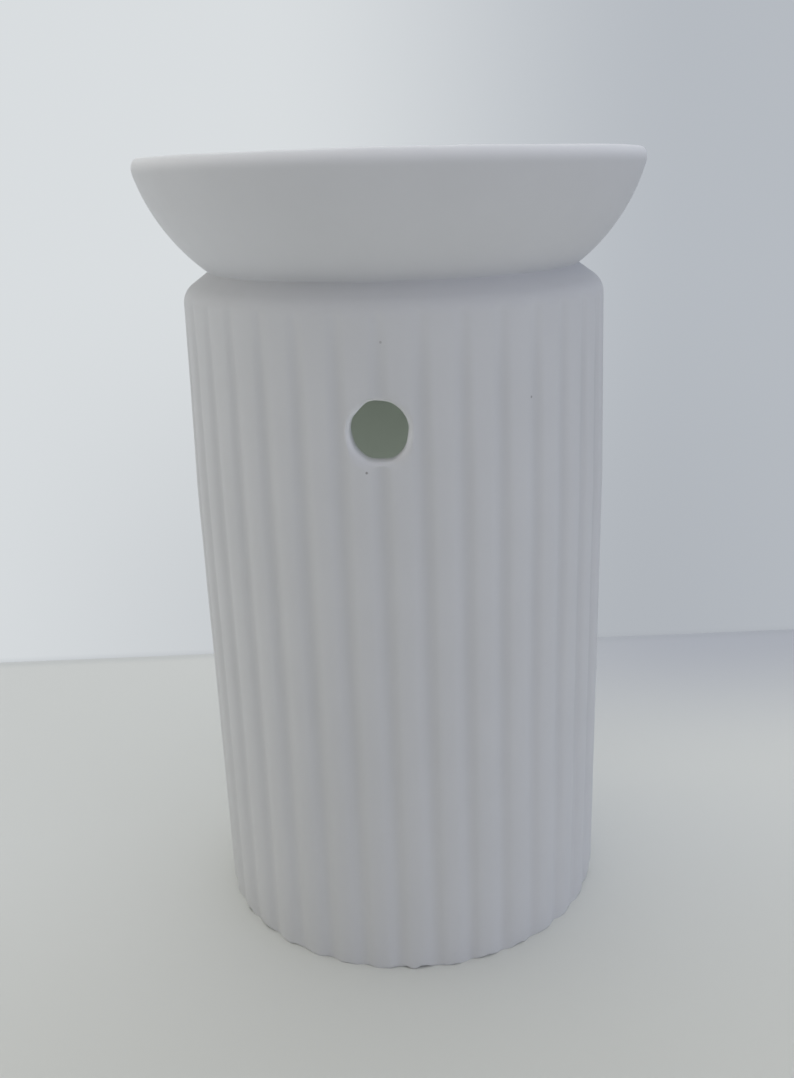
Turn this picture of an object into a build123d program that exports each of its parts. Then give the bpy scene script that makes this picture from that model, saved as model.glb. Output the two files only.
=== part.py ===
from build123d import *
import math
import os

# Wax melt warmer: a ribbed ceramic body, a lift-off dish and the tealight that heats it.
# Millimetres. The body's axis is the Z axis, and Z = 0 is the table that it stands on.
# The vent faces -Y, and the doorway that the tealight goes through faces +Y.

# Ribbed body
body_height = 127.8  # table to the flat lip that carries the dish
crest_radius = 40.0  # axis to the crests of the ribs
rib_count = 36
rib_depth = 1.0  # crest to the root of the V between two ribs, before it is softened
valley_round = 3.0  # radius that softens the root of each V
crest_trim = 0.06  # how much of each rib's arc is taken off to leave a narrow land along its crest
lean_start = 88.0  # table to where the body begins to narrow
side_lean = 1.5  # degrees that its ribs and crests lean in above that
shoulder_radius = 5.1  # rounding from the ribs to the lip
base_edge = 0.5  # rounding of the crests where they meet the table
wall = 3.5  # root of the V to the inner wall
lip_width = 2.2  # flat seat between the shoulder and the mouth
lip_thickness = 4.0
chamber_round = 2.5  # corners of the chamber, at the floor and under the lip
foot_width = 4.0  # ring that stands on the table, in from the roots
foot_recess = 1.5  # depth of the hollow inside that ring
recess_round = 1.0
floor_thickness = 4.5

# Openings in the body
vent_diameter = 9.7
vent_height = 105.3  # table to the vent's centre
doorway_height = 58.0  # sill to the crown of the arch
doorway_clearance = 4.0  # each side of the tealight

# Dish
rim_radius = 46.3
dish_rise = 19.8  # seat to the rim
dish_drop = 5.0  # seat to the flat underside, inside the mouth
flare_radius = 32.2  # outer curve from the seat to the rim
dish_wall = 3.8  # thickness at the rim
lip_round = 1.7  # rounding of the rim, inside and out
dish_floor = 4.2
hollow_floor_radius = 17.0  # flat inside bottom
underside_radius = 24.0  # flat outside bottom
belly_radius = 26.0  # curve from the flat underside to the collar
collar_height = 2.0  # upright ring that centres the dish in the mouth
collar_clearance = 0.8

# Tealight
cup_radius = 18.5  # outside of the cup's wall
cup_height = 16.0
foil = 0.4
cup_base_round = 1.6
bead_radius = 0.5  # rolled edge of the cup
wax_depth = 12.0
wax_gap = 0.1  # the wax shrinks off the cup as it sets
wax_edge = 0.6
wick_radius = 0.7
wick_stand = 8.0  # length of wick above the wax
wick_bend = 18.0  # radius of its lean
wick_clearance = 0.05
tab_radius = 6.0
tab_thickness = 0.4
crimp_wall = 0.5
crimp_height = 4.0

# Places that follow from the sizes above
rib_pitch = 360 / rib_count
root_radius = crest_radius - rib_depth
inner_radius = root_radius - wall
lean = math.radians(side_lean)
shoulder_level = body_height - shoulder_radius * (1 - math.sin(lean))
shoulder_reach = crest_radius - (shoulder_level - lean_start) * math.tan(lean)
lip_edge_radius = shoulder_reach - shoulder_radius * math.cos(lean)
mouth_radius = lip_edge_radius - lip_width
floor_level = foot_recess + floor_thickness
lip_underside = body_height - lip_thickness
doorway_half = cup_radius + bead_radius + doorway_clearance
arch_spring = floor_level + doorway_height - doorway_half
rim_level = body_height + dish_rise
underside_level = body_height - dish_drop
hollow_level = underside_level + dish_floor
collar_radius = mouth_radius - collar_clearance
cup_floor = floor_level + foil
wax_level = cup_floor + wax_depth
crimp_radius = wick_radius + wick_clearance + crimp_wall
wick_bore = wick_radius + wick_clearance


def around_axis(radius, angle):
    """Point at an angle, in degrees from -Y, on a circle about the axis."""
    return Vector(0, -radius).rotate(Axis.Z, angle)


with BuildPart() as ribbed_body:
    # Column of ribs: one arc for each rib, with a valley centred on the vent
    with BuildSketch() as rib_outline:
        with BuildLine():
            for rib in range(rib_count):
                ThreePointArc(
                    around_axis(root_radius, rib * rib_pitch),
                    around_axis(crest_radius + crest_trim, (rib + 0.5) * rib_pitch),
                    around_axis(root_radius, (rib + 1) * rib_pitch),
                )
        make_face()
        fillet(rib_outline.vertices(), valley_round)
    extrude(amount=lean_start)
    with BuildSketch(Plane.XY.offset(lean_start)):
        add(rib_outline.sketch)
    extrude(amount=body_height - lean_start, taper=side_lean)

    # Turned form that trims the crests and rounds the shoulder, so that the ribs fade into it
    with BuildSketch(Plane.XZ):
        with BuildLine():
            base = Line((0, 0), (crest_radius - base_edge, 0))
            edge = JernArc(start=base @ 1, tangent=(1, 0), radius=base_edge, arc_size=90)
            side = Line(edge @ 1, (crest_radius, lean_start))
            narrowing = Line(side @ 1, (shoulder_reach, shoulder_level))
            shoulder = JernArc(
                start=narrowing @ 1,
                tangent=narrowing % 1,
                radius=shoulder_radius,
                arc_size=90 - side_lean,
            )
            Polyline(shoulder @ 1, (0, body_height), base @ 0)
        make_face()
    revolve(axis=Axis.Z, mode=Mode.INTERSECT)

    # Candle chamber, narrowing under the lip to the mouth
    with BuildSketch(Plane.XZ) as chamber:
        with BuildLine():
            Polyline(
                (0, floor_level),
                (inner_radius, floor_level),
                (inner_radius, lip_underside),
                (mouth_radius, lip_underside),
                (mouth_radius, body_height),
                (0, body_height),
                close=True,
            )
        make_face()
        fillet(chamber.vertices().group_by(Axis.X)[-1], chamber_round)
    revolve(axis=Axis.Z, mode=Mode.SUBTRACT)

    # Arched doorway in the back, with its sill level with the chamber floor
    with BuildSketch(Plane.XZ):
        with BuildLine():
            Polyline(
                (doorway_half, arch_spring),
                (doorway_half, floor_level),
                (-doorway_half, floor_level),
                (-doorway_half, arch_spring),
            )
            CenterArc((0, arch_spring), doorway_half, 0, 180)
        make_face()
    extrude(amount=-crest_radius, mode=Mode.SUBTRACT)

    # Round vent in the front
    with BuildSketch(Plane.XZ):
        with Locations((0, vent_height)):
            Circle(vent_diameter / 2)
    extrude(amount=crest_radius, mode=Mode.SUBTRACT)

    # Hollow underside, which leaves a ring to stand on
    with BuildSketch():
        Circle(root_radius - foot_width)
    extrude(amount=foot_recess, mode=Mode.SUBTRACT)
    fillet(ribbed_body.edges(Select.LAST).group_by(Axis.Z)[-1], recess_round)

with BuildPart() as melt_dish:
    # Flared outside, and the belly and collar that sit inside the mouth
    with BuildSketch(Plane.XZ):
        with BuildLine():
            flare = RadiusArc((lip_edge_radius, body_height), (rim_radius, rim_level), -flare_radius)
            belly = RadiusArc(
                (underside_radius, underside_level),
                (collar_radius, body_height - collar_height),
                -belly_radius,
            )
            Polyline(belly @ 1, (collar_radius, body_height), flare @ 0)
            Polyline(flare @ 1, (0, rim_level), (0, underside_level), belly @ 0)
        make_face()
    revolve(axis=Axis.Z)

    # Hollow for the wax melt: a flat bottom that sweeps up to the rim
    with BuildSketch(Plane.XZ):
        with BuildLine():
            bottom = Line((0, hollow_level), (hollow_floor_radius, hollow_level))
            sweep_up = TangentArc(bottom @ 1, (rim_radius - dish_wall, rim_level), tangent=(1, 0))
            Polyline(sweep_up @ 1, (0, rim_level), bottom @ 0)
        make_face()
    revolve(axis=Axis.Z, mode=Mode.SUBTRACT)
    fillet(melt_dish.edges().group_by(Axis.Z)[-1], lip_round)

with BuildPart() as tealight_cup:
    # Pressed cup with a rounded base and a rolled edge
    with BuildSketch(Plane.XZ) as cup_section:
        with Locations((0, floor_level)):
            Rectangle(cup_radius, cup_height - bead_radius, align=(Align.MIN, Align.MIN))
        fillet(cup_section.vertices().group_by(Axis.Y)[0].sort_by(Axis.X)[-1], cup_base_round)
    revolve(axis=Axis.Z)
    offset(amount=-foil, openings=tealight_cup.faces().sort_by(Axis.Z)[-1])
    with BuildSketch(Plane.XZ):
        with Locations((cup_radius, floor_level + cup_height - bead_radius)):
            Circle(bead_radius)
    revolve(axis=Axis.Z)

with BuildPart() as tealight_wax:
    # Fill of wax, set round the wick and its holder
    with BuildSketch(Plane.XZ) as wax_section:
        with Locations((0, cup_floor)):
            Rectangle(cup_radius - foil - wax_gap, wax_depth, align=(Align.MIN, Align.MIN))
        fillet(wax_section.vertices().group_by(Axis.Y)[0].sort_by(Axis.X)[-1], cup_base_round)
        fillet(wax_section.vertices().group_by(Axis.Y)[-1].sort_by(Axis.X)[-1], wax_edge)
    revolve(axis=Axis.Z)
    with BuildSketch(Plane.XZ):
        with BuildLine():
            Polyline(
                (0, cup_floor),
                (tab_radius, cup_floor),
                (tab_radius, cup_floor + tab_thickness),
                (crimp_radius, cup_floor + tab_thickness),
                (crimp_radius, cup_floor + crimp_height),
                (wick_bore, cup_floor + crimp_height),
                (wick_bore, wax_level),
                (0, wax_level),
                close=True,
            )
        make_face()
    revolve(axis=Axis.Z, mode=Mode.SUBTRACT)

with BuildPart() as wick_holder:
    # Pressed tab on the cup's floor, with a collar crimped round the wick
    with BuildSketch(Plane.XZ):
        with BuildLine():
            Polyline(
                (0, cup_floor),
                (tab_radius, cup_floor),
                (tab_radius, cup_floor + tab_thickness),
                (crimp_radius, cup_floor + tab_thickness),
                (crimp_radius, cup_floor + crimp_height),
                (wick_bore, cup_floor + crimp_height),
                (wick_bore, cup_floor + tab_thickness),
                (0, cup_floor + tab_thickness),
                close=True,
            )
        make_face()
    revolve(axis=Axis.Z)

with BuildPart() as tealight_wick:
    # Wick that stands on the tab and leans a little above the wax
    with BuildLine(Plane.YZ):
        upright = Line((0, cup_floor + tab_thickness), (0, wax_level))
        JernArc(
            start=upright @ 1,
            tangent=(0, 1),
            radius=wick_bend,
            arc_size=-math.degrees(wick_stand / wick_bend),
        )
    with BuildSketch(Plane.XY.offset(cup_floor + tab_thickness)):
        Circle(wick_radius)
    sweep()

pieces = {
    "ribbed_body": ribbed_body,
    "melt_dish": melt_dish,
    "tealight_cup": tealight_cup,
    "tealight_wax": tealight_wax,
    "wick_holder": wick_holder,
    "tealight_wick": tealight_wick,
}

os.makedirs("parts", exist_ok=True)
for name, piece in pieces.items():
    piece.part.label = name
    export_step(piece.part, f"parts/{name}.step")
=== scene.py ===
from math import atan2, cos, degrees, hypot, pi, radians, sin, sqrt, tan

import bmesh
import bpy
from mathutils import Matrix, Vector


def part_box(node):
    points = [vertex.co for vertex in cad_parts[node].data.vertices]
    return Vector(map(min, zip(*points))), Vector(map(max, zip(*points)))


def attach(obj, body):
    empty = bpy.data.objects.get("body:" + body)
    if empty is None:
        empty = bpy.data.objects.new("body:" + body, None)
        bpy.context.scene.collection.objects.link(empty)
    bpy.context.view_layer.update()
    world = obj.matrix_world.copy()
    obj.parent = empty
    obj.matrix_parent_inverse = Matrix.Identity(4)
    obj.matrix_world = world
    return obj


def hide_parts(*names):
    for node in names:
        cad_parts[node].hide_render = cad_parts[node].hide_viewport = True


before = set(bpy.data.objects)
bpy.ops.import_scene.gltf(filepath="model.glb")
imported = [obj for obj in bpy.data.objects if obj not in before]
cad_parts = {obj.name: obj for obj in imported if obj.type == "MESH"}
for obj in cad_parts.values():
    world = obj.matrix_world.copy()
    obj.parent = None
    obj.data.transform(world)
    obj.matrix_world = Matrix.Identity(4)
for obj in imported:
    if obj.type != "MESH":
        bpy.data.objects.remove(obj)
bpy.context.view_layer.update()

# Wax melt warmer in matte white bisque: a ribbed body, a flared dish and a tealight.
# Metres. The vent faces -Y and the doorway faces +Y, and the floor is at Z = 0.

MM = 0.001
AXIS = (0.0, 0.0, 0.0)
TOUCHING = 1e-6  # within this, two points count as one place

# Ribbed body
LIP_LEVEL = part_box("ribbed_body")[1][2]
CREST = 40.0 * MM
ROOT = 39.0 * MM
RIBS = 36
VALLEY_ROUND = 3.0 * MM
RIB_COLUMNS = 16  # columns of faces across one rib
RIB_FADE = 0.2 * MM  # softness of the ribs' crests and of their ends on the shoulder
LEAN_START = 88.0 * MM  # where the body begins to narrow
SIDE_LEAN = radians(1.5)
RIB_LEAN = radians(0.75)  # the ribs lean in less than the sides, so they grow shallow towards the shoulder
SHOULDER = 3.9 * MM  # rounding from the side to the slope under the dish
SHOULDER_SLOPE = radians(35.5)
SHOULDER_CENTRE = LIP_LEVEL - 5.22 * MM
SHOULDER_LEVEL = SHOULDER_CENTRE + SHOULDER * sin(SIDE_LEAN)
SHOULDER_REACH = CREST - (SHOULDER_LEVEL - LEAN_START) * tan(SIDE_LEAN)
SHOULDER_MIDDLE = SHOULDER_REACH - SHOULDER * cos(SIDE_LEAN)
SLOPE_RISE = LIP_LEVEL - SHOULDER_CENTRE - SHOULDER * cos(SHOULDER_SLOPE)
LIP_EDGE = SHOULDER_MIDDLE + SHOULDER * sin(SHOULDER_SLOPE) - SLOPE_RISE / tan(SHOULDER_SLOPE)
BASE_EDGE = 0.8 * MM
INNER_WALL = 35.5 * MM
MOUTH = 31.8 * MM
LIP_UNDERSIDE = LIP_LEVEL - 4.0 * MM
CHAMBER_ROUND = 2.5 * MM
FOOT_INSIDE = 35.0 * MM
FOOT_RECESS = 1.5 * MM
RECESS_ROUND = 1.0 * MM
CHAMBER_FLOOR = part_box("tealight_cup")[0][2]
EASED_EDGE = 0.4 * MM  # edges wiped round with a damp sponge
FLOOR_RING = 20.0 * MM  # where the faces of the flat floors meet, between the axis and the wall
EVEN_STRIP = 1.2 * MM  # top of the shoulder, by the dish's skirt, which stays as it was turned
WORN_BASE = 2.5 * MM  # how far up the base edge is worn

# Openings in the body
OPENING_SURFACE = 39.5 * MM  # the ribs' mean radius, where an opening's wiped edge begins
WIPED_END = 66  # degrees of an opening's wiped edge, before it runs out into the ribs
VENT_HEIGHT = 104.8 * MM
VENT_ASIDE = -0.25 * MM  # cut by hand, a little off the valley
VENT = 5.0 * MM
VENT_FLATS = ((84, 0.16), (135, 0.26), (195, 0.12), (270, 0.22), (318, 0.12), (350, 0.22))  # degrees, mm off
VENT_STRETCH = (0.97, 1.0, 1.045)  # a little taller than wide
VENT_EDGE = 1.3 * MM
VENT_INNER_EDGE = 0.5 * MM
DOORWAY_HALF = 23.0 * MM
DOORWAY_CROWN = CHAMBER_FLOOR + 58.0 * MM
DOORWAY_EDGE = 1.0 * MM
DOORWAY_INNER_EDGE = 0.6 * MM
SILL_RELIEF = 0.02 * MM
VENT_CUTTER_START = 25.0 * MM  # distances from the axis where the cutters start, inside the chamber
DOORWAY_CUTTER_START = 15.0 * MM
CUTTER_END = 46.0 * MM  # where both end, outside the wall

# Dish
DISH_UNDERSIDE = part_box("melt_dish")[0][2]
RIM_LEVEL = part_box("melt_dish")[1][2]
FLARE_FOOT = 34.0 * MM  # where the flare would meet the lip, without its rounding
GROOVE_ROUND = 0.06 * MM  # hollow rounding from the flare to the shoulder's slope
SKIRT_EDGE = 14  # degrees of that rounding left off, at the thin edge of the dish's skirt
RIM = 46.42 * MM  # where the flare would meet the rim, without its rounding
FLARE_RADIUS = 32.2 * MM
DISH_WALL = 3.8 * MM
LIP_OUTSIDE = 2.6 * MM  # long rounding from the flare to the rim
LIP_CROWN = 0.8 * MM  # tighter rounding over its top
CROWN_START = radians(35)
LIP_INSIDE = 1.7 * MM
HOLLOW_LEVEL = DISH_UNDERSIDE + 4.2 * MM
HOLLOW_FLOOR = 17.0 * MM
HOLLOW_RING = 8.0 * MM  # where the faces of its flat bottom meet
UNDERSIDE = 24.0 * MM
UNDERSIDE_RING = 12.0 * MM
BELLY_RADIUS = 26.0 * MM
COLLAR = 31.0 * MM
COLLAR_HEIGHT = 2.0 * MM

# Tealight
CUP_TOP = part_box("tealight_cup")[1][2]
CUP = 18.5 * MM
CUP_TAPER = 0.25 * MM  # how much narrower the cup is at its base
FOIL = 0.3 * MM
CUP_ROUND = 1.6 * MM
BEAD = 0.5 * MM
CUP_LIFT = 0.08 * MM  # unevenness of the pressed base, which lifts it off the floor
BASE_PANEL = 13.0 * MM
PANEL_RISE = 0.35 * MM
WAX_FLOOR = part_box("tealight_wax")[0][2]
WAX_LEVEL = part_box("tealight_wax")[1][2]
WAX_EDGE = 18.0 * MM
WAX_CLIMB = 0.35 * MM  # how far the set wax climbs its cup, and twice that up its wick
CLIMB_BY_CUP = 1.4 * MM  # widths over which it climbs
CLIMB_BY_WICK = 2.0 * MM
WAX_SAG = 0.1 * MM  # how far it sinks round the wick as it sets
TAB = 6.0 * MM
TAB_THICKNESS = 0.4 * MM
CRIMP = 1.25 * MM
CRIMP_HEIGHT = 4.0 * MM
WICK_BORE = 0.75 * MM
WICK_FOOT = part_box("tealight_wick")[0][2]
WICK_STAND = 8.0 * MM
WICK_BEND = 18.0 * MM
STRANDS = 3
STRAND = 0.34 * MM
STRAND_OFFSET = 0.36 * MM
STRAND_TWIST = radians(16)  # at each step up the wick


# Selecting and shaping


def clear_selection():
    bpy.ops.object.select_all(action="DESELECT")


def activate(piece):
    clear_selection()
    piece.select_set(True)
    bpy.context.view_layer.objects.active = piece


def pick(piece, test):
    """In edit mode, select the vertices whose place passes the test, and nothing else."""
    mesh = bmesh.from_edit_mesh(piece.data)
    for vertex in mesh.verts:
        vertex.select = bool(test(vertex.co))
    mesh.select_flush_mode()
    bmesh.update_edit_mesh(piece.data)


def arc(centre, radius, start, end, count):
    """Points along an arc of a section, from a start to an end angle in degrees."""
    turns = [radians(start + (end - start) * step / count) for step in range(count + 1)]
    return [(centre[0] + radius * cos(turn), centre[1] + radius * sin(turn)) for turn in turns]


def direction(start, end):
    """The angle in degrees from one point of a section to another."""
    return degrees(atan2(end[1] - start[1], end[0] - start[0]))


def bow_centre(start, end, radius):
    """The centre of the arc of that radius that bows away from the axis between two points."""
    chord = Vector(end) - Vector(start)
    rise = sqrt(radius ** 2 - (chord.length / 2) ** 2)
    return (Vector(start) + Vector(end)) / 2 + Vector((-chord.y, chord.x)).normalized() * rise


def bowed(start, end, radius, count):
    centre = bow_centre(start, end, radius)
    return arc(centre, radius, direction(centre, start), direction(centre, end), count)


def run(start, end, count):
    """Points after a start, evenly spaced along a line, as far as its end."""
    return [
        (start[0] + (end[0] - start[0]) * step / count, start[1] + (end[1] - start[1]) * step / count)
        for step in range(1, count + 1)
    ]


def draw_section(name, section, closed=False):
    """A wire through the points of a section, (distance from the axis, height), left in edit mode."""
    clear_selection()
    bpy.ops.mesh.primitive_plane_add(size=1.0)
    piece = bpy.context.object
    piece.name = name
    piece.data.name = name
    bpy.ops.object.mode_set(mode="EDIT")
    bpy.ops.mesh.merge(type="CENTER")
    bpy.ops.transform.translate(value=(section[0][0], 0, section[0][1]))
    for (near, low), (far, high) in zip(section, section[1:]):
        bpy.ops.mesh.extrude_vertices_move(TRANSFORM_OT_translate={"value": (far - near, 0, high - low)})
    if closed:
        ends = (section[0], section[-1])
        pick(piece, lambda place: any(hypot(place.x - r, place.z - z) < TOUCHING for r, z in ends))
        bpy.ops.mesh.edge_face_add()
    bpy.ops.mesh.select_all(action="SELECT")
    return piece


def close_seams():
    """Merge what meets at the seams and the poles, point the faces outwards and leave edit mode."""
    bpy.ops.mesh.select_all(action="SELECT")
    bpy.ops.mesh.remove_doubles(threshold=2 * TOUCHING)
    bpy.ops.mesh.normals_make_consistent(inside=False)
    bpy.ops.object.mode_set(mode="OBJECT")


def turned(name, section, steps, closed=False):
    """A piece turned about the axis from its section."""
    piece = draw_section(name, section, closed)
    bpy.ops.mesh.spin(steps=steps, angle=2 * pi, center=AXIS, axis=(0, 0, 1))
    close_seams()
    return piece


def apply_modifier(piece, kind, **settings):
    modifier = piece.modifiers.new(kind.lower(), kind)
    for setting, value in settings.items():
        setattr(modifier, setting, value)
    activate(piece)
    bpy.ops.object.modifier_apply(modifier=modifier.name)


def weigh(piece, group, weight):
    """A vertex group with a weight that is worked out from each vertex's place."""
    made = piece.vertex_groups.new(name=group)
    for vertex in piece.data.vertices:
        amount = weight(vertex.co)
        if amount > 0:
            made.add([vertex.index], min(amount, 1.0), "REPLACE")


def ramp(value, low, high):
    """From 0 at low to 1 at high, and held there."""
    return min(max((value - low) / (high - low), 0.0), 1.0)


def make_uneven(piece, group, name, grain, depth, way="NORMAL", level=0.5):
    """Raise and sink the weighted surface a little, as hand-cast clay is."""
    clouds = bpy.data.textures.new(name, "CLOUDS")
    clouds.noise_scale = grain
    clouds.noise_depth = 1
    apply_modifier(
        piece,
        "DISPLACE",
        texture=clouds,
        texture_coords="LOCAL",
        vertex_group=group,
        strength=depth,
        mid_level=level,
        direction=way,
    )


def cut(piece, cutter):
    """Cut a piece with a cutter, which is then thrown away."""
    apply_modifier(piece, "BOOLEAN", operation="DIFFERENCE", solver="EXACT", object=cutter)
    bpy.data.objects.remove(cutter)


def finish_piece(piece, body, node, material, crease=35):
    """Smooth the faces, give the piece its material, hide the CAD part it stands in for, and let it ride on
    its body.
    """
    activate(piece)
    bpy.ops.object.shade_smooth_by_angle(angle=radians(crease))
    piece.vertex_groups.clear()
    piece.data.materials.clear()
    piece.data.materials.append(material)
    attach(piece, body)
    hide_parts(node)


# Materials


def add_node(tree, kind, inputs, **settings):
    """Add a node with its settings, and give its sockets values or links."""
    made = tree.nodes.new(kind)
    for setting, value in settings.items():
        setattr(made, setting, value)
    for socket, value in inputs.items():
        if isinstance(value, bpy.types.NodeSocket):
            tree.links.new(value, made.inputs[socket])
        else:
            made.inputs[socket].default_value = value
    return made


def new_material(name):
    material = bpy.data.materials.new(name)
    material.use_nodes = True
    tree = material.node_tree
    shader = tree.nodes["Principled BSDF"]
    place = tree.nodes.new("ShaderNodeTexCoord").outputs["Object"]
    return material, tree, shader, place


def math(tree, operation, first, second=0.0):
    return add_node(tree, "ShaderNodeMath", {0: first, 1: second}, operation=operation).outputs[0]


def vector_math(tree, operation, first, second, output="Vector"):
    return add_node(tree, "ShaderNodeVectorMath", {0: first, 1: second}, operation=operation).outputs[output]


def mix(tree, amount, first, second):
    """Mix two colours, each a link or a red, green and blue."""
    colours = [c if isinstance(c, bpy.types.NodeSocket) else (*c, 1.0) for c in (first, second)]
    inputs = {"Factor": amount, 6: colours[0], 7: colours[1]}
    return add_node(tree, "ShaderNodeMix", inputs, data_type="RGBA").outputs[2]


def noise(tree, place, scale, detail=3.0):
    inputs = {"Vector": place, "Scale": scale, "Detail": detail}
    return add_node(tree, "ShaderNodeTexNoise", inputs).outputs["Fac"]


def stretch(tree, place, scale):
    return add_node(tree, "ShaderNodeMapping", {"Vector": place, "Scale": scale}).outputs["Vector"]


def spread(tree, value, low, high, to_low=0.0, to_high=1.0):
    """Map a value smoothly from one range to another, and hold it there."""
    inputs = {"Value": value, "From Min": low, "From Max": high, "To Min": to_low, "To Max": to_high}
    return add_node(tree, "ShaderNodeMapRange", inputs, interpolation_type="SMOOTHSTEP").outputs["Result"]


def roughen(tree, shader, height, strength, depth):
    bump = add_node(tree, "ShaderNodeBump", {"Height": height, "Strength": strength, "Distance": depth})
    tree.links.new(bump.outputs["Normal"], shader.inputs["Normal"])


BISQUE = (0.700, 0.705, 0.720)
BISQUE_SHADE = (0.688, 0.693, 0.707)
PAINTED_HIGHLIGHT = (0.865, 0.870, 0.885)  # painted highlight, on the rim's top and round the vent
RIM_HIGHLIGHT_DEPTH = 2.8 * MM  # how far down the rim the painted highlight reaches
# Painted shade in the valleys between the ribs
VALLEY_SHADE = (0.36, 0.365, 0.375)
VALLEY_SHADE_WIDTH = radians(3.3)  # from the middle of a valley
VALLEY_SHADE_RISE = 8.0 * MM, 65.0 * MM  # heights between which the painted shade grows
VALLEY_SHADE_AMOUNTS = 0.03, 0.15  # at those heights
VALLEY_SHADE_END = LIP_LEVEL - 18.0 * MM, LIP_LEVEL - 2.0 * MM  # heights between which it runs out
# Painted light: the chamber's inside, paler and greener, for light let through the thin walls
CHAMBER_PAINTED_LIGHT = (0.745, 0.800, 0.732)
SPECK = (0.16, 0.15, 0.14)
SPECKS = ((-3.5, 98.3, 0.65), (38.6, 108.6, 0.55), (0.8, 119.2, 0.35))  # degrees round, mm up, darkness


def bisque(name):
    """Unglazed white clay, faintly clouded, with a fine grain."""
    material, tree, shader, place = new_material(name)
    cloud = spread(tree, noise(tree, place, 55.0, 4.0), 0.35, 0.65)
    tone = mix(tree, cloud, BISQUE_SHADE, BISQUE)
    grain = noise(tree, place, 2200.0, 2.0)
    wiped = noise(tree, place, 320.0, 3.0)
    roughen(tree, shader, math(tree, "ADD", math(tree, "MULTIPLY", grain, 0.35), wiped), 0.3, 0.06 * MM)
    tree.links.new(spread(tree, wiped, 0.3, 0.7, 0.58, 0.70), shader.inputs["Roughness"])
    tree.links.new(tone, shader.inputs["Base Color"])
    shader.inputs["Specular IOR Level"].default_value = 0.35
    return material, tree, shader, place, tone


def dish_bisque():
    """The dish's clay, with a painted highlight along the top of the rim."""
    material, tree, shader, place, tone = bisque("dish_bisque")
    height = add_node(tree, "ShaderNodeSeparateXYZ", {0: place}).outputs["Z"]
    # Painted highlight, paler towards the top of the rim
    rim_highlight = spread(tree, height, RIM_LEVEL - RIM_HIGHLIGHT_DEPTH, RIM_LEVEL - 0.3 * MM)
    tree.links.new(mix(tree, rim_highlight, tone, PAINTED_HIGHLIGHT), shader.inputs["Base Color"])
    return material


def valley_shade(tree, axes):
    """How much painted shade darkens the side: most in the middle of a valley, less by the base, and none on
    the shoulder.
    """
    turn = math(tree, "ARCTAN2", axes["X"], math(tree, "MULTIPLY", axes["Y"], -1.0))
    from_valley = math(tree, "PINGPONG", turn, pi / RIBS)
    in_valley = spread(tree, from_valley, 0.0, VALLEY_SHADE_WIDTH, 1.0, 0.0)
    up_side = spread(tree, axes["Z"], *VALLEY_SHADE_RISE, *VALLEY_SHADE_AMOUNTS)
    below_shoulder = spread(tree, axes["Z"], *VALLEY_SHADE_END, 1.0, 0.0)
    return math(tree, "MULTIPLY", in_valley, math(tree, "MULTIPLY", up_side, below_shoulder))


def in_chamber(tree, place, axes):
    """Full inside the chamber, and nothing on the lip, on the outside or under the foot."""
    reach = vector_math(tree, "LENGTH", vector_math(tree, "MULTIPLY", place, (1, 1, 0)), AXIS, "Value")
    inside = spread(tree, reach, INNER_WALL, INNER_WALL + 1.5 * MM, 1.0, 0.0)
    below_lip = spread(tree, axes["Z"], LIP_UNDERSIDE, LIP_UNDERSIDE + 1.0 * MM, 1.0, 0.0)
    above_foot = spread(tree, axes["Z"], FOOT_RECESS, CHAMBER_FLOOR - 1.0 * MM)
    return math(tree, "MULTIPLY", inside, math(tree, "MULTIPLY", below_lip, above_foot))


def vent_highlight(tree, place, axes):
    """How strongly the edge of the vent is painted pale as a highlight, on the outside of the wall."""
    from_vent = vector_math(tree, "SUBTRACT", place, (VENT_ASIDE, 0.0, VENT_HEIGHT))
    beside = vector_math(tree, "LENGTH", vector_math(tree, "MULTIPLY", from_vent, (1, 0, 1)), AXIS, "Value")
    edge = spread(tree, beside, VENT - 0.2 * MM, VENT + 0.9 * MM, 0.9, 0.0)
    outside = spread(tree, axes["Y"], -INNER_WALL - 2.0 * MM, -INNER_WALL, 1.0, 0.0)
    return math(tree, "MULTIPLY", edge, outside)


def kiln_speck(tree, place, turn, height, darkness):
    """A small dark speck on the outside of the wall, at an angle from the vent and a height."""
    outwards = (sin(turn), -cos(turn), 0.0)
    offset = vector_math(tree, "SUBTRACT", place, (0.0, 0.0, height))
    away = vector_math(tree, "LENGTH", vector_math(tree, "CROSS_PRODUCT", offset, outwards), AXIS, "Value")
    spot = spread(tree, away, 0.1 * MM, 0.3 * MM, darkness, 0.0)
    ahead = vector_math(tree, "DOT_PRODUCT", offset, outwards, "Value")
    outside = spread(tree, ahead, INNER_WALL + 1.0 * MM, INNER_WALL + 2.0 * MM)
    return math(tree, "MULTIPLY", spot, outside)


def body_bisque():
    """The body's clay, with painted shade between the ribs and a painted highlight round the vent, specked,
    and painted paler and greener inside for light let through the walls.
    """
    material, tree, shader, place, tone = bisque("body_bisque")
    axes = add_node(tree, "ShaderNodeSeparateXYZ", {0: place}).outputs
    # Painted shade in the rib valleys
    tone = mix(tree, valley_shade(tree, axes), tone, VALLEY_SHADE)
    # Painted light inside the chamber
    tone = mix(tree, in_chamber(tree, place, axes), tone, CHAMBER_PAINTED_LIGHT)
    # Painted highlight round the vent's edge
    tone = mix(tree, vent_highlight(tree, place, axes), tone, PAINTED_HIGHLIGHT)
    for turn, height, darkness in SPECKS:
        tone = mix(tree, kiln_speck(tree, place, radians(turn), height * MM, darkness), tone, SPECK)
    tree.links.new(tone, shader.inputs["Base Color"])
    return material


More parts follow.
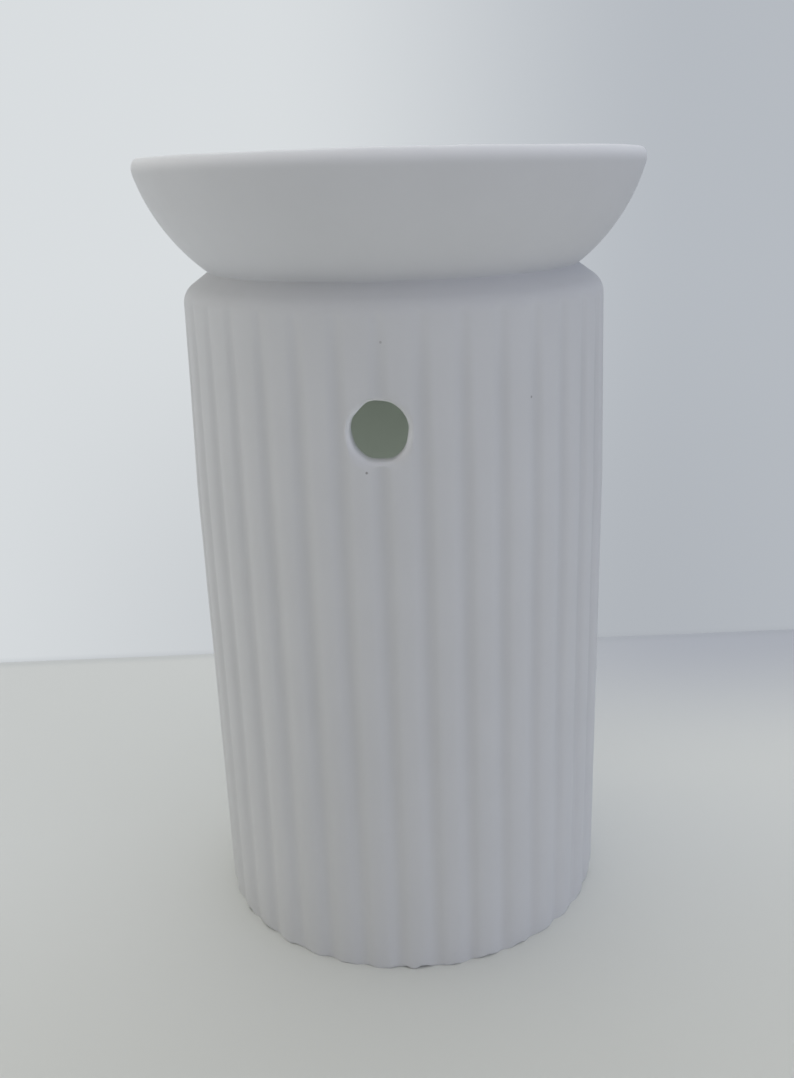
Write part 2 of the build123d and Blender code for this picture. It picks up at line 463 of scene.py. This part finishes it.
def pressed_aluminium():
    """Thin drawn sheet, with upright draw lines."""
    material, tree, shader, place = new_material("pressed_aluminium")
    lines = noise(tree, stretch(tree, place, (1.0, 1.0, 0.04)), 1500.0, 2.0)
    smudge = spread(tree, noise(tree, place, 140.0), 0.35, 0.65)
    tone = mix(tree, smudge, (0.74, 0.74, 0.75), (0.86, 0.86, 0.87))
    tree.links.new(tone, shader.inputs["Base Color"])
    tree.links.new(spread(tree, lines, 0.3, 0.7, 0.26, 0.42), shader.inputs["Roughness"])
    roughen(tree, shader, lines, 0.3, 0.03 * MM)
    shader.inputs["Metallic"].default_value = 1.0
    return material


def candle_wax():
    """White paraffin, a little clouded and soft to the light."""
    material, tree, shader, place = new_material("candle_wax")
    cloud = noise(tree, place, 260.0, 4.0)
    tone = mix(tree, spread(tree, cloud, 0.35, 0.65), (0.78, 0.76, 0.70), (0.86, 0.84, 0.79))
    tree.links.new(tone, shader.inputs["Base Color"])
    tree.links.new(spread(tree, cloud, 0.3, 0.7, 0.34, 0.48), shader.inputs["Roughness"])
    roughen(tree, shader, noise(tree, place, 420.0, 2.0), 0.25, 0.1 * MM)
    shader.inputs["Subsurface Weight"].default_value = 0.35
    shader.inputs["Subsurface Radius"].default_value = (0.004, 0.003, 0.002)
    shader.inputs["Subsurface Scale"].default_value = 1.0
    return material


def wick_cotton():
    """Waxed cotton, with fibres along the strands."""
    material, tree, shader, place = new_material("wick_cotton")
    fibre = noise(tree, stretch(tree, place, (1.0, 1.0, 0.2)), 9000.0)
    tone = mix(tree, spread(tree, fibre, 0.3, 0.7), (0.58, 0.53, 0.43), (0.82, 0.78, 0.68))
    tree.links.new(tone, shader.inputs["Base Color"])
    roughen(tree, shader, fibre, 0.5, 0.05 * MM)
    shader.inputs["Roughness"].default_value = 0.8
    return material


def tinned_steel():
    """Tinned sheet, brushed one way."""
    material, tree, shader, place = new_material("tinned_steel")
    lines = noise(tree, stretch(tree, place, (0.05, 1.0, 1.0)), 2500.0, 2.0)
    tone = mix(tree, spread(tree, lines, 0.3, 0.7), (0.52, 0.52, 0.53), (0.66, 0.66, 0.67))
    tree.links.new(tone, shader.inputs["Base Color"])
    tree.links.new(spread(tree, lines, 0.3, 0.7, 0.28, 0.45), shader.inputs["Roughness"])
    shader.inputs["Metallic"].default_value = 1.0
    return material


# Ribbed body


def body_section():
    """From the middle of the hollow underside, round the outside and the chamber, to its floor."""
    corner = INNER_WALL - CHAMBER_ROUND
    wall_low = (INNER_WALL, CHAMBER_FLOOR + CHAMBER_ROUND)
    section = [(0.0, FOOT_RECESS), (FLOOR_RING, FOOT_RECESS)]
    section += arc((FOOT_INSIDE - RECESS_ROUND, FOOT_RECESS - RECESS_ROUND), RECESS_ROUND, 90, 0, 5)
    section += arc((FOOT_INSIDE + EASED_EDGE, EASED_EDGE), EASED_EDGE, 180, 270, 3)
    section += arc((CREST - BASE_EDGE, BASE_EDGE), BASE_EDGE, 270, 360, 4)
    section += run(section[-1], (CREST, LEAN_START), 36)
    section += run(section[-1], (SHOULDER_REACH, SHOULDER_LEVEL), 16)[:-1]
    slope = degrees(SHOULDER_SLOPE)
    section += arc((SHOULDER_MIDDLE, SHOULDER_CENTRE), SHOULDER, degrees(SIDE_LEAN), 90 - slope, 14)
    section += run(section[-1], (LIP_EDGE, LIP_LEVEL), 6)
    section += arc((MOUTH + EASED_EDGE, LIP_LEVEL - EASED_EDGE), EASED_EDGE, 90, 180, 3)
    section += arc((MOUTH + EASED_EDGE, LIP_UNDERSIDE + EASED_EDGE), EASED_EDGE, 180, 270, 3)
    section += arc((corner, LIP_UNDERSIDE - CHAMBER_ROUND), CHAMBER_ROUND, 90, 0, 6)
    section += run(section[-1], wall_low, 16)[:-1]
    section += arc((corner, wall_low[1]), CHAMBER_ROUND, 0, -90, 6)
    section += [(FLOOR_RING, CHAMBER_FLOOR), (0.0, CHAMBER_FLOOR)]
    return section


def rib_drop(turn):
    """How far a rib lies inside its crest, at an angle from its middle: an arc, then a soft valley."""
    half = pi / RIBS
    bulge = CREST - ROOT * cos(half)
    radius = ((ROOT * sin(half)) ** 2 + bulge ** 2) / (2 * bulge)
    middle = CREST - radius
    along, across = middle * cos(half), middle * sin(half)
    valley = along + sqrt((radius + VALLEY_ROUND) ** 2 - across ** 2)
    share = VALLEY_ROUND / (radius + VALLEY_ROUND)
    aside = half - abs(turn)
    if aside < atan2(across * share, valley - (valley - along) * share):
        return CREST - valley * cos(aside) + sqrt(VALLEY_ROUND ** 2 - (valley * sin(aside)) ** 2)
    return CREST - middle * cos(turn) - sqrt(radius ** 2 - (middle * sin(turn)) ** 2)


def soft_press(drop):
    """A drop where it is above nothing, with a soft start."""
    return (drop + sqrt(drop ** 2 + RIB_FADE ** 2)) / 2


def is_outside(place):
    """Whether a point of the turned wall is on its outer side, from the base edge to the lip."""
    reach = hypot(place.x, place.y)
    on_lip = place.z > LIP_UNDERSIDE + 1.0 * MM and reach > LIP_EDGE - TOUCHING
    return reach > INNER_WALL + 0.5 * MM or on_lip


def in_column(turn, width, low, high):
    """A test for the outside of a rib between two heights, at one angle to both sides of its middle."""

    def test(place):
        aside = abs(abs(atan2(place.x, -place.y)) - turn)
        return aside < width and low < place.z < high and is_outside(place)

    return test


def press_valleys(piece, pitch):
    """Scale the columns of one rib towards the axis, ring by ring and most at its two edges."""
    bands = {}
    for vertex in bmesh.from_edit_mesh(piece.data).verts:
        if is_outside(vertex.co):
            bands.setdefault(round(hypot(vertex.co.x, vertex.co.y), 6), []).append(vertex.co.z)
    step = pitch / RIB_COLUMNS
    for reach, heights in bands.items():
        low, high = min(heights) - TOUCHING, max(heights) + TOUCHING
        trim = CREST - max(high - LEAN_START, 0.0) * tan(RIB_LEAN) - reach
        for turn in (step * column for column in range(RIB_COLUMNS // 2 + 1)):
            scale = 1 - soft_press(rib_drop(turn) - trim) / reach
            pick(piece, in_column(turn, step / 4, low, high))
            bpy.ops.transform.resize(value=(scale, scale, 1), center_override=AXIS)


def outline_box(piece):
    """Half width, low and high of the outline of an opening."""
    places = [vertex.co for vertex in bmesh.from_edit_mesh(piece.data).verts]
    heights = [place.z for place in places]
    return max(abs(place.x) for place in places), min(heights), max(heights)


def carry_outline(piece, facing, rings):
    """Carry the outline of an opening through the wall, as a closed cutter.

    A ring is (distance along Y, half width, low, high). The first and the last stay flat, and the
    ones between lie on a cylinder about the body's axis."""
    bpy.ops.mesh.select_all(action="SELECT")
    near = 0.0
    half, low, high = outline_box(piece)
    for far, new_half, new_low, new_high in rings:
        if near:
            bpy.ops.mesh.extrude_edges_move()
        spread_by = (new_half / half, 1, (new_high - new_low) / (high - low))
        bpy.ops.transform.resize(value=spread_by, center_override=(0, 0, low))
        bpy.ops.transform.translate(value=(0, facing * (far - near), new_low - low))
        near, half, low, high = far, new_half, new_low, new_high
    for end in (rings[0][0], rings[-1][0]):
        pick(piece, lambda place: abs(place.y - facing * end) < TOUCHING)
        bpy.ops.mesh.edge_face_add()
    bpy.ops.mesh.select_all(action="SELECT")
    bpy.ops.mesh.normals_make_consistent(inside=False)
    bpy.ops.object.mode_set(mode="OBJECT")
    for vertex in piece.data.vertices:
        reach = abs(vertex.co.y)
        if rings[0][0] + TOUCHING < reach < rings[-1][0] - TOUCHING:
            vertex.co.y = facing * sqrt(reach ** 2 - vertex.co.x ** 2)


def wiped_edges(outer_edge, inner_edge, start):
    """Distances from the axis through the wall, each with how far the opening widens there."""
    steps = 5
    run_out = 2.5 * MM
    last = radians(WIPED_END)
    turns = [last * step / steps for step in range(steps + 1)]
    inner = [(INNER_WALL + inner_edge * (1 - sin(turn)), inner_edge * (1 - cos(turn))) for turn in turns]
    outer = [(OPENING_SURFACE - outer_edge * (1 - sin(turn)), outer_edge * (1 - cos(turn))) for turn in turns]
    inner.append((inner[-1][0] - run_out * cos(last), inner[-1][1] + run_out * sin(last)))
    outer.append((outer[-1][0] + run_out * cos(last), outer[-1][1] + run_out * sin(last)))
    return [(start, inner[-1][1])] + inner[::-1] + outer + [(CUTTER_END, outer[-1][1])]


def new_outline(name, vertices, radius, height):
    """A circle that faces along Y, left in edit mode."""
    clear_selection()
    bpy.ops.mesh.primitive_circle_add(vertices=vertices, radius=radius)
    piece = bpy.context.object
    piece.name = name
    bpy.ops.object.mode_set(mode="EDIT")
    bpy.ops.transform.rotate(value=pi / 2, orient_axis="X", center_override=AXIS)
    bpy.ops.transform.translate(value=(0, 0, height))
    return piece


def make_vent_cutter():
    """A round hole with the flats that a knife leaves in soft clay."""
    piece = new_outline("vent_cutter", 64, VENT, VENT_HEIGHT)
    bpy.ops.mesh.edge_face_add()
    for turn, depth in VENT_FLATS:
        side = Vector((cos(radians(turn)), 0, sin(radians(turn))))
        bpy.ops.mesh.select_all(action="SELECT")
        bpy.ops.mesh.bisect(
            plane_co=Vector((0, 0, VENT_HEIGHT)) + side * (VENT - depth * MM),
            plane_no=side,
            clear_outer=True,
        )
    bpy.ops.mesh.select_all(action="SELECT")
    bpy.ops.mesh.delete(type="ONLY_FACE")
    bpy.ops.mesh.select_all(action="SELECT")
    bpy.ops.mesh.subdivide(number_cuts=2)
    bpy.ops.mesh.vertices_smooth(factor=0.5, repeat=8)
    bpy.ops.transform.resize(value=VENT_STRETCH, center_override=(0, 0, VENT_HEIGHT))
    half, low, high = outline_box(piece)
    edges = wiped_edges(VENT_EDGE, VENT_INNER_EDGE, VENT_CUTTER_START)
    carry_outline(piece, -1, [(reach, half + wide, low - wide, high + wide) for reach, wide in edges])
    for vertex in piece.data.vertices:
        vertex.co.x += VENT_ASIDE
    return piece


def make_doorway_cutter():
    """An arch with its sill level with the chamber floor."""
    spring = DOORWAY_CROWN - DOORWAY_HALF
    sill = CHAMBER_FLOOR - SILL_RELIEF
    piece = new_outline("doorway_cutter", 96, DOORWAY_HALF, spring)
    pick(piece, lambda place: place.z < spring - TOUCHING)
    bpy.ops.mesh.delete(type="VERT")
    pick(piece, lambda place: place.z < spring + TOUCHING)
    bpy.ops.mesh.extrude_vertices_move(TRANSFORM_OT_translate={"value": (0, 0, sill - spring)})
    bpy.ops.mesh.edge_face_add()
    bpy.ops.mesh.subdivide(number_cuts=31)
    rings = []
    for reach, wide in wiped_edges(DOORWAY_EDGE, DOORWAY_INNER_EDGE, DOORWAY_CUTTER_START):
        low = sill - wide if reach > INNER_WALL + DOORWAY_EDGE else sill
        rings.append((reach, DOORWAY_HALF + wide, low, DOORWAY_CROWN + wide))
    # The end inside the chamber rises clear of its floor
    rings[0] = (rings[0][0], rings[0][1], sill + EASED_EDGE, rings[0][3])
    carry_outline(piece, 1, rings)
    return piece


def side_weight(place):
    """Full on the ribs, and nothing by the dish's skirt or inside the chamber."""
    return ramp(place.z, LIP_LEVEL - EVEN_STRIP, SHOULDER_LEVEL) if is_outside(place) else 0.0


def base_weight(place):
    """Full on the base edge of the ribs, and nothing on the face that stands on the floor."""
    return ramp(place.z, WORN_BASE, 0.3 * MM) * ramp(place.z, 0.0, 0.1 * MM) if is_outside(place) else 0.0


def make_body():
    """One rib of the wall is turned over its pitch, pressed to shape and copied round the axis."""
    pitch = 2 * pi / RIBS
    piece = draw_section("body_shell", body_section())
    bpy.ops.transform.rotate(value=(pi - pitch) / 2, orient_axis="Z", center_override=AXIS)
    bpy.ops.mesh.spin(steps=RIB_COLUMNS, angle=pitch, center=AXIS, axis=(0, 0, 1))
    press_valleys(piece, pitch)
    bpy.ops.mesh.select_all(action="SELECT")
    bpy.ops.transform.rotate(value=pitch / 2, orient_axis="Z", center_override=AXIS)
    bpy.ops.mesh.spin(steps=RIBS, dupli=True, angle=2 * pi, center=AXIS, axis=(0, 0, 1))
    close_seams()
    weigh(piece, "side", side_weight)
    make_uneven(piece, "side", "cast_waves", grain=20.0 * MM, depth=0.15 * MM)
    weigh(piece, "base", base_weight)
    make_uneven(piece, "base", "base_wear", grain=2.6 * MM, depth=0.5 * MM)
    make_uneven(piece, "base", "base_nicks", grain=3.2 * MM, depth=2.0 * MM, way="Z", level=0.58)
    for vertex in piece.data.vertices:
        vertex.co.z = max(vertex.co.z, 0.0)
    cut(piece, make_doorway_cutter())
    cut(piece, make_vent_cutter())
    finish_piece(piece, "body", "ribbed_body", body_bisque())


# Dish


def groove_centre(flare):
    """The middle of the groove's rounding, which touches the shoulder's slope and the flare."""
    slope = Vector((cos(SHOULDER_SLOPE), -sin(SHOULDER_SLOPE)))
    above_lip = Vector((LIP_EDGE - slope.y * GROOVE_ROUND, LIP_LEVEL + slope.x * GROOVE_ROUND))
    inside = above_lip - flare
    along = inside.dot(slope)
    across = inside.length_squared - along ** 2
    return above_lip + slope * (sqrt((FLARE_RADIUS + GROOVE_ROUND) ** 2 - across) - along)


def dish_section():
    """From the middle of the underside, by the skirt, the flare and the rim, to the hollow's floor."""
    foot = (FLARE_FOOT, LIP_LEVEL)
    flare = bow_centre(foot, (RIM, RIM_LEVEL), FLARE_RADIUS)
    crown_offset = (LIP_OUTSIDE - LIP_CROWN) * Vector((cos(CROWN_START), sin(CROWN_START)))
    outer_height = RIM_LEVEL - LIP_CROWN - crown_offset.y
    outer_reach = sqrt((FLARE_RADIUS - LIP_OUTSIDE) ** 2 - (outer_height - flare.y) ** 2)
    outer = Vector((flare.x + outer_reach, outer_height))
    crown = outer + crown_offset
    inner = (RIM - DISH_WALL + LIP_INSIDE, RIM_LEVEL - LIP_INSIDE)
    across, up = inner[0] - HOLLOW_FLOOR, inner[1] - HOLLOW_LEVEL
    hollow_radius = (across ** 2 + up ** 2 - LIP_INSIDE ** 2) / (2 * (up + LIP_INSIDE))
    hollow = (HOLLOW_FLOOR, HOLLOW_LEVEL + hollow_radius)
    section = [(0.0, DISH_UNDERSIDE), (UNDERSIDE_RING, DISH_UNDERSIDE)]
    section += bowed((UNDERSIDE, DISH_UNDERSIDE), (COLLAR, LIP_LEVEL - COLLAR_HEIGHT), BELLY_RADIUS, 8)
    groove = groove_centre(flare)
    landing = 270 - degrees(SHOULDER_SLOPE) - SKIRT_EDGE
    skirt = arc(groove, GROOVE_ROUND, landing, direction(groove, flare), 4)
    edge = GROOVE_ROUND * (1 - cos(radians(SKIRT_EDGE)))
    section += [(COLLAR, LIP_LEVEL), (LIP_EDGE, LIP_LEVEL)]
    section += [(skirt[0][0] - edge * sin(SHOULDER_SLOPE), skirt[0][1] - edge * cos(SHOULDER_SLOPE))]
    section += skirt
    section += arc(flare, FLARE_RADIUS, direction(flare, groove), direction(flare, outer), 30)[1:]
    section += arc(outer, LIP_OUTSIDE, direction(flare, outer), degrees(CROWN_START), 8)[1:]
    section += arc(crown, LIP_CROWN, degrees(CROWN_START), 90, 5)[1:]
    section += arc(inner, LIP_INSIDE, 90, direction(inner, hollow), 6)
    section += arc(hollow, hollow_radius, direction(hollow, inner), -90, 30)[1:]
    section += [(HOLLOW_RING, HOLLOW_LEVEL), (0.0, HOLLOW_LEVEL)]
    return section


def flare_weight(place):
    """Full from low on the flare to the rim, and nothing at the skirt or below it."""
    return ramp(place.z, LIP_LEVEL + 0.3 * MM, LIP_LEVEL + 6.0 * MM)


def make_dish():
    piece = turned("dish_shell", dish_section(), 288)
    weigh(piece, "flare", flare_weight)
    make_uneven(piece, "flare", "dish_waves", grain=22.0 * MM, depth=0.2 * MM)
    finish_piece(piece, "dish", "melt_dish", dish_bisque())


# Tealight


def cup_section():
    """From the middle of the raised base panel, up the outside, over the rolled bead and down inside."""
    base = CHAMBER_FLOOR + CUP_LIFT
    foot = CUP - CUP_TAPER
    bead = (CUP, CUP_TOP - BEAD)
    section = [(0.0, base + PANEL_RISE), (BASE_PANEL, base + PANEL_RISE), (BASE_PANEL + PANEL_RISE, base)]
    section += arc((foot - CUP_ROUND, base + CUP_ROUND), CUP_ROUND, -90, 0, 6)
    section += run(section[-1], (CUP - FOIL, CUP_TOP - 2 * BEAD), 4)
    section += arc(bead, BEAD, -120, 170, 14)
    inside = CUP - 2 * FOIL
    section += [(inside, CUP_TOP - 2 * BEAD)]
    section += run(section[-1], (foot - FOIL, base + CUP_ROUND), 4)
    section += arc((foot - CUP_ROUND, base + CUP_ROUND), CUP_ROUND - FOIL, 0, -90, 6)
    section += [(BASE_PANEL + PANEL_RISE, base + FOIL), (BASE_PANEL, base + PANEL_RISE + FOIL)]
    section += [(0.0, base + PANEL_RISE + FOIL)]
    return section


def make_cup():
    piece = turned("cup_shell", cup_section(), 144)
    finish_piece(piece, "tealight", "tealight_cup", pressed_aluminium(), crease=50)


def wax_section():
    """A fill of wax round the wick's holder, which climbs its cup and its wick a little."""
    edge = WAX_EDGE - CUP_TAPER
    section = [(TAB, WAX_FLOOR + PANEL_RISE)]
    section += arc((edge - CUP_ROUND, WAX_FLOOR + CUP_ROUND + PANEL_RISE), CUP_ROUND, -90, 0, 6)
    section += run(section[-1], (WAX_EDGE, WAX_LEVEL + WAX_CLIMB), 4)
    sunk = WAX_LEVEL - WAX_SAG
    parts = [step / 6 for step in range(1, 7)]
    section += [(WAX_EDGE - CLIMB_BY_CUP * part, WAX_LEVEL + WAX_CLIMB * (1 - part) ** 2) for part in parts]
    section += run(section[-1], (WICK_BORE + CLIMB_BY_WICK, sunk), 8)
    section += [(WICK_BORE + CLIMB_BY_WICK * (1 - part), sunk + 2 * WAX_CLIMB * part ** 2) for part in parts]
    section += [(WICK_BORE, WAX_FLOOR + CRIMP_HEIGHT), (CRIMP, WAX_FLOOR + CRIMP_HEIGHT)]
    section += [(CRIMP, WAX_FLOOR + TAB_THICKNESS), (TAB, WAX_FLOOR + TAB_THICKNESS)]
    return section


def make_wax():
    piece = turned("wax_fill", wax_section(), 144, closed=True)
    finish_piece(piece, "tealight", "tealight_wax", candle_wax(), crease=50)


def make_wick():
    """Three strands laid up together, which lean above the wax."""
    clear_selection()
    bpy.ops.mesh.primitive_circle_add(vertices=10, radius=STRAND, fill_type="NGON")
    piece = bpy.context.object
    piece.name = "wick_strands"
    piece.data.name = "wick_strands"
    bpy.ops.object.mode_set(mode="EDIT")
    bpy.ops.transform.translate(value=(STRAND_OFFSET, 0, WICK_FOOT))
    bpy.ops.mesh.spin(steps=STRANDS, dupli=True, angle=2 * pi, center=AXIS, axis=(0, 0, 1))
    bpy.ops.mesh.select_all(action="SELECT")
    bpy.ops.mesh.remove_doubles(threshold=TOUCHING)
    length = WAX_LEVEL - WICK_FOOT + WICK_STAND
    steps = 56
    rise = length / steps
    aside = 0.0
    for step in range(1, steps + 1):
        lean = max(step * rise - (WAX_LEVEL - WICK_FOOT), 0.0) / WICK_BEND
        bpy.ops.mesh.extrude_region_move(
            TRANSFORM_OT_translate={"value": (0, rise * sin(lean), rise * cos(lean))}
        )
        aside += rise * sin(lean)
        bpy.ops.transform.rotate(value=STRAND_TWIST, orient_axis="Z", center_override=(0, aside, 0))
    bpy.ops.mesh.select_all(action="SELECT")
    bpy.ops.mesh.fill_holes(sides=12)
    close_seams()
    finish_piece(piece, "tealight", "tealight_wick", wick_cotton(), crease=60)


def dress_holder():
    """The pressed tab keeps its CAD shape, under the wax."""
    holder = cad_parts["wick_holder"]
    holder.data.materials.clear()
    holder.data.materials.append(tinned_steel())


# Stage


BACKDROP_LEFT = (0.695, 0.725, 0.745)
BACKDROP_RIGHT = (0.465, 0.495, 0.535)
BACKDROP_SHADE = (0.36, 0.38, 0.41)  # low down behind the object
VIEWPOINT = (16.0 * MM, -204.0 * MM, 143.0 * MM)  # the floor's tones run out to the backdrop's from here
WALL_TURN = (-0.095, 1.0, 0.0)  # the backdrop stands a little askew
WALL_FOOT = 108.0 * MM
SEAM_WIDTH = 5.0 * MM  # soft shade where the floor meets the backdrop
SEAM_AMOUNT = 0.22
FLOOR_END = 220.0 * MM, 400.0 * MM  # distances over which the floor runs out
FLOOR_TONES = (0.650, 0.656, 0.615), (0.710, 0.723, 0.700)  # in front and by the backdrop
FLOOR_DEPTH = -85.0 * MM, 15.0 * MM
FLOOR_SHADE = (0.48, 0.50, 0.545)  # in the corner on the right, by the backdrop
SHADE_WIDTH = -60.0 * MM, 90.0 * MM
SHADE_DEPTH = 20.0 * MM, WALL_FOOT
WHITE_CARD = (0.93, 0.95, 0.98)  # lies on the floor, well to the left, and lights the dish from below
CARD_EDGE = -220.0 * MM, -150.0 * MM

# Soft panels round the object: degrees round from behind it to the right, degrees up, red, green, blue
SOFT_PANELS = (
    (0, 90, (1.75, 1.75, 1.75)),
    (0, 50, (0.56, 0.58, 0.62)),
    (55, 40, (0.13, 0.17, 0.22)),
    (120, 5, (0.85, 0.91, 1.16)),
    (185, 5, (0.16, 0.15, 0.15)),
    (278, 5, (1.12, 1.10, 0.97)),
)
ROOM_LIGHT = (0.13, 0.13, 0.13)
PANEL_FOCUS = 6.0

# Weak lamp in the chamber, for the light that the thin walls let through
CHAMBER_LAMP = (0.0, 0.0, 72.0 * MM)
LAMP_WATTS = 0.0038
LAMP_RADIUS = 8.0 * MM


def backdrop_tone(tree, towards):
    """Pale on the left, a shade deeper on the right and low down behind the object, by a direction."""
    axes = add_node(tree, "ShaderNodeSeparateXYZ", {0: towards}).outputs
    tone = mix(tree, spread(tree, axes["X"], -0.20, 0.19), BACKDROP_LEFT, BACKDROP_RIGHT)
    aside = math(tree, "ABSOLUTE", math(tree, "ADD", axes["X"], 0.04))
    near = spread(tree, aside, 0.08, 0.50, 0.42, 0.0)
    low = spread(tree, axes["Z"], -0.42, -0.05, 1.0, 0.0)
    return mix(tree, math(tree, "MULTIPLY", near, low), tone, BACKDROP_SHADE)


def is_seen(tree):
    """Whether a ray comes from the camera, straight or by way of gloss or glass."""
    path = tree.nodes.new("ShaderNodeLightPath").outputs
    seen = math(tree, "MAXIMUM", path["Is Camera Ray"], path["Is Glossy Ray"])
    return math(tree, "MAXIMUM", seen, path["Is Transmission Ray"])


def mix_shaders(tree, amount, first, second):
    return add_node(tree, "ShaderNodeMixShader", {0: amount, 1: first, 2: second}).outputs["Shader"]


def floor_tone(tree, place, behind):
    """Warmer in front, with a shaded corner by the backdrop and a white card on the left."""
    patches = spread(tree, noise(tree, place, 3.0), 0.3, 0.7, -0.1, 0.1)
    tone = mix(tree, math(tree, "ADD", spread(tree, behind, *FLOOR_DEPTH), patches), *FLOOR_TONES)
    across = vector_math(tree, "DOT_PRODUCT", place, (1, 0, 0), "Value")
    tone = mix(tree, spread(tree, across, *CARD_EDGE, 1.0, 0.0), tone, WHITE_CARD)
    corner = math(tree, "MULTIPLY", spread(tree, across, *SHADE_WIDTH), spread(tree, behind, *SHADE_DEPTH))
    return mix(tree, corner, tone, FLOOR_SHADE)


def make_floor():
    """A pale floor that keeps the object's shadow and runs out into the backdrop."""
    clear_selection()
    bpy.ops.mesh.primitive_plane_add(size=6.0)
    floor = bpy.context.object
    floor.name = "floor"
    material, tree, shader, place = new_material("pale_floor")
    behind = vector_math(tree, "DOT_PRODUCT", place, WALL_TURN, "Value")
    from_foot = math(tree, "ABSOLUTE", math(tree, "SUBTRACT", behind, WALL_FOOT))
    seam = spread(tree, from_foot, 0.0, SEAM_WIDTH, SEAM_AMOUNT, 0.0)
    tone = mix(tree, seam, floor_tone(tree, place, behind), BACKDROP_SHADE)
    tree.links.new(tone, shader.inputs["Base Color"])
    shader.inputs["Roughness"].default_value = 0.8
    towards = vector_math(tree, "NORMALIZE", vector_math(tree, "SUBTRACT", place, VIEWPOINT), AXIS)
    glow = mix(tree, seam, backdrop_tone(tree, towards), BACKDROP_SHADE)
    backdrop = add_node(tree, "ShaderNodeEmission", {"Color": glow, "Strength": 1.0})
    away = spread(tree, vector_math(tree, "LENGTH", place, AXIS, "Value"), *FLOOR_END)
    beyond = math(tree, "MAXIMUM", away, spread(tree, behind, WALL_FOOT, WALL_FOOT + 1.0 * MM))
    run_out = math(tree, "MULTIPLY", beyond, is_seen(tree))
    shown = mix_shaders(tree, run_out, shader.outputs["BSDF"], backdrop.outputs["Emission"])
    tree.links.new(shown, tree.nodes["Material Output"].inputs["Surface"])
    floor.data.materials.append(material)


def make_world():
    """Soft light from panels all round, in front of a plain backdrop."""
    world = bpy.data.worlds.new("soft_studio")
    bpy.context.scene.world = world
    world.use_nodes = True
    tree = world.node_tree
    light = tree.nodes["Background"]
    look = tree.nodes.new("ShaderNodeTexCoord").outputs["Generated"]
    glow = ROOM_LIGHT
    for round_by, up, colour in SOFT_PANELS:
        turn, rise = radians(round_by), radians(up)
        panel = (cos(rise) * sin(turn), cos(rise) * cos(turn), sin(rise))
        towards = math(tree, "MAXIMUM", vector_math(tree, "DOT_PRODUCT", look, panel, "Value"), 0.0)
        fall = mix(tree, math(tree, "POWER", towards, PANEL_FOCUS), (0.0, 0.0, 0.0), colour)
        glow = vector_math(tree, "ADD", glow, fall)
    tree.links.new(glow, light.inputs["Color"])
    backdrop = add_node(tree, "ShaderNodeBackground", {"Color": backdrop_tone(tree, look), "Strength": 1.0})
    shown = mix_shaders(tree, is_seen(tree), light.outputs["Background"], backdrop.outputs["Background"])
    tree.links.new(shown, tree.nodes["World Output"].inputs["Surface"])


def make_chamber_lamp():
    """A small lamp that itself stays out of sight."""
    data = bpy.data.lights.new("chamber_lamp", "POINT")
    data.energy = LAMP_WATTS
    data.shadow_soft_size = LAMP_RADIUS
    lamp = bpy.data.objects.new("chamber_lamp", data)
    bpy.context.scene.collection.objects.link(lamp)
    lamp.location = CHAMBER_LAMP
    lamp.visible_camera = False


# Camera

CAMERA_AWAY = 204.472 * MM
CAMERA_HEIGHT = 143.292 * MM
CAMERA_TURN = radians(4.43)  # round the axis, from the vent towards +X
CAMERA_YAW = radians(-1.175)
CAMERA_PITCH = radians(18.896)
CAMERA_ROLL = radians(1.501)
CAMERA_LENS = 35.238
CAMERA_SENSOR = 36.0
CAMERA_SHIFT = -0.02428


def make_camera():
    data = bpy.data.cameras.new("photo_camera")
    data.lens = CAMERA_LENS
    data.sensor_width = CAMERA_SENSOR
    data.shift_x = CAMERA_SHIFT
    camera = bpy.data.objects.new("photo_camera", data)
    bpy.context.scene.collection.objects.link(camera)
    place = Vector((CAMERA_AWAY * sin(CAMERA_TURN), -CAMERA_AWAY * cos(CAMERA_TURN), CAMERA_HEIGHT))
    camera.matrix_world = (
        Matrix.Translation(place)
        @ Matrix.Rotation(CAMERA_TURN + CAMERA_YAW, 4, "Z")
        @ Matrix.Rotation(pi / 2 - CAMERA_PITCH, 4, "X")
        @ Matrix.Rotation(-CAMERA_ROLL, 4, "Z")
    )
    bpy.context.scene.camera = camera


make_body()
make_dish()
make_cup()
make_wax()
make_wick()
dress_holder()
make_floor()
make_world()
make_chamber_lamp()
make_camera()
bpy.context.scene.view_settings.view_transform = "Standard"
